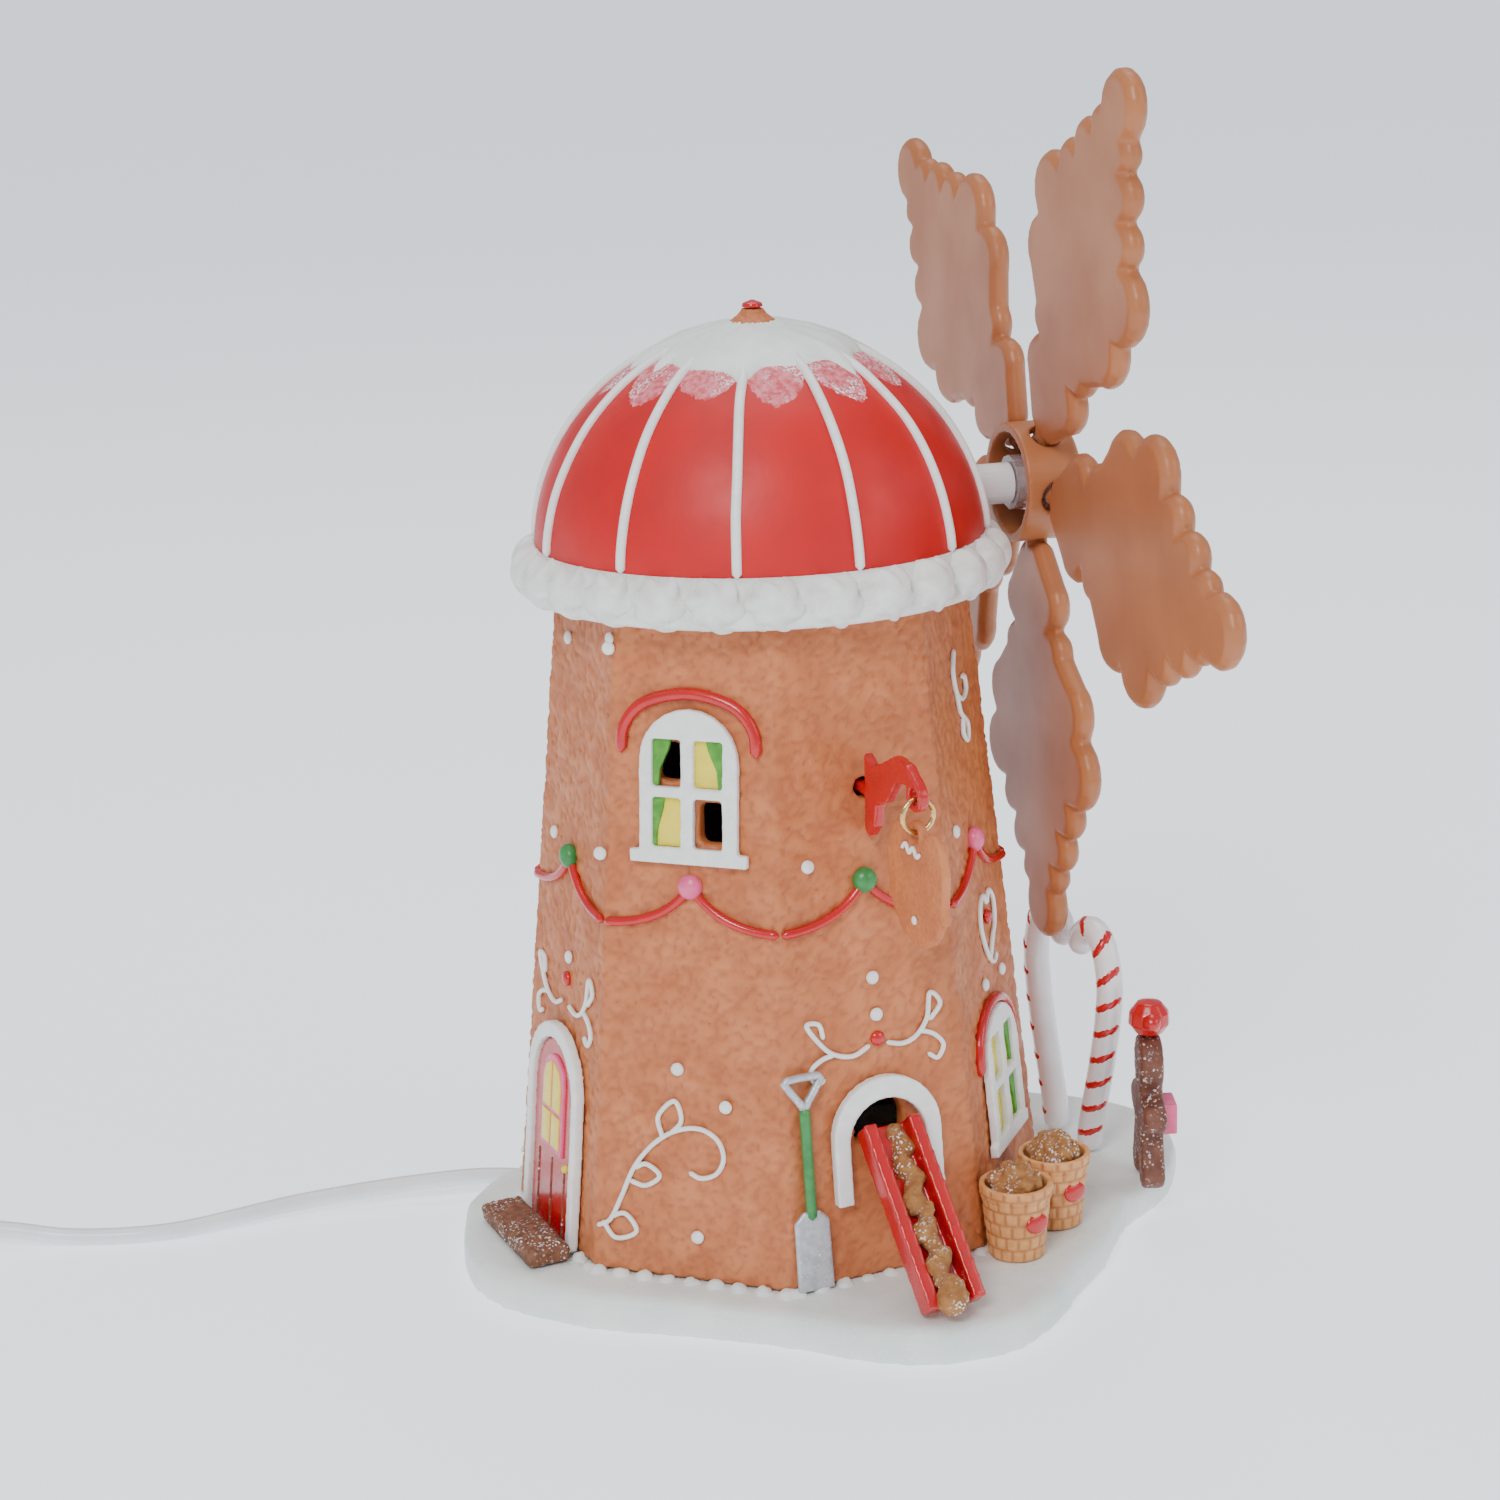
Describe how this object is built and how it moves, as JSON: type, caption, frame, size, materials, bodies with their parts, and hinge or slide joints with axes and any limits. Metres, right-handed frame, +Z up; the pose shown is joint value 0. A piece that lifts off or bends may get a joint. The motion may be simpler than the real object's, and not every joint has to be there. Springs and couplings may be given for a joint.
{
  "type": "souvenir figurine",
  "caption": "Lit gingerbread windmill figurine: hollow octagonal tower, domed roof, motor-driven rotor, hanging sign, dough chute, snow base and a mains lead.",
  "frame": {"origin": "on the tower's axis, in the plane the base stands on", "axes": "+Z up, +X along the rotor's axle towards the rotor, the chute and the hanging sign on the -Y side"},
  "size_m": [0.4109, 0.3001, 0.2946],
  "materials": {
    "gingerbread": "painted bisque with a hammered relief",
    "porcelain_snow": "satin glaze with glitter",
    "icing_white": "satin paint",
    "candy_white": "glossy glaze with red dashes",
    "candy_red": "glossy paint",
    "dome_red": "satin paint",
    "dough": "rough, sugared",
    "wicker": "satin paint over a woven relief",
    "dark_biscuit": "satin paint",
    "green_paint": "satin paint",
    "silver_paint": "metallic paint",
    "gold_wire": "polished",
    "blade_plastic": "satin moulded",
    "clear_plastic": "clear",
    "white_plastic": "moulded",
    "cord_white": "smooth flexible PVC",
    "lead_grey": "smooth flexible PVC",
    "steel": "zinc plated",
    "motor_metal": "pressed can",
    "nylon": "natural",
    "brass": "stamped",
    "bulb_glass": "clear",
    "cover_plastic": "moulded"
  },
  "bodies": {
    "tower": {"axle_bush": "white_plastic", "bottom_cover": "cover_plastic", "bucket_back": "wicker", "bucket_back_dough": "dough", "bucket_front": "wicker", "bucket_front_dough": "dough", "bulb": "bulb_glass", "candy_cane_left": "candy_white", "candy_cane_right": "candy_white", "chute": "candy_red", "chute_arch": "icing_white", "chute_dough": "dough", "cord_coil": "cord_white", "cord_gland": "white_plastic", "cord_to_coil": "cord_white", "cord_to_plug": "cord_white", "cord_to_switch": "cord_white", "cover_screw_1": "steel", "cover_screw_2": "steel", "cover_screw_3": "steel", "door_frame": "icing_white", "door_step": "dark_biscuit", "figure_bow": "candy_red", "finial_drop": "candy_red", "finial_knob": "gingerbread", "front_door": "candy_red", "ginger_figure": "dark_biscuit", "icing_collar": "icing_white", "lamp_holder": "white_plastic", "motor_bracket": "steel", "motor_can": "motor_metal", "motor_deck": "steel", "motor_lead": "lead_grey", "plug_blade_1": "brass", "plug_blade_2": "brass", "plug_body": "white_plastic", "plug_grip": "white_plastic", "roof_dome": "dome_red", "shovel_blade": "silver_paint", "shovel_handle": "green_paint", "side_window": "icing_white", "sign_bracket": "candy_red", "snow_base": "porcelain_snow", "switch_body": "white_plastic", "tower_shell": "gingerbread", "upper_window": "icing_white"},
    "rotor": {"rotor_hub": "blade_plastic", "hub_sleeve": "clear_plastic", "axle": "white_plastic", "drive_gear": "nylon", "blade_1": "blade_plastic", "blade_2": "blade_plastic", "blade_3": "blade_plastic", "blade_4": "blade_plastic", "blade_5": "blade_plastic"},
    "pinion": {"motor_pinion": "white_plastic", "motor_shaft": "steel"},
    "ring": {"sign_ring": "gold_wire"},
    "sign": {"sign_plate": "gingerbread"},
    "rocker": {"switch_rocker": "white_plastic"}
  },
  "joints": [
    {"name": "rotor_spin", "type": "hinge", "parent": "tower", "child": "rotor", "pos_m": [0, 0, 0.19], "axis": [1, 0, 0], "continuous": true},
    {"name": "pinion_spin", "type": "hinge", "parent": "tower", "child": "pinion", "pos_m": [0, 0, 0.2092], "axis": [1, 0, 0], "continuous": true},
    {"name": "ring_swing", "type": "hinge", "parent": "tower", "child": "ring", "pos_m": [0.01229, -0.07806, 0.1334], "axis": [0.1305, -0.9914, 0], "range_deg": [-15, 15]},
    {"name": "plate_swing", "type": "hinge", "parent": "ring", "child": "sign", "pos_m": [0.01229, -0.07806, 0.1254], "axis": [0.9914, 0.1305, 0], "range_deg": [-15, 15]},
    {"name": "rocker_tilt", "type": "hinge", "parent": "tower", "child": "rocker", "pos_m": [-0.224, 0.063, 0.011], "axis": [-0.3256, -0.9455, 0], "range_deg": [-16, 0]}
  ],
  "couplings": [
    {"joint": "pinion_spin", "follows": "rotor_spin", "ratio": -3}
  ]
}
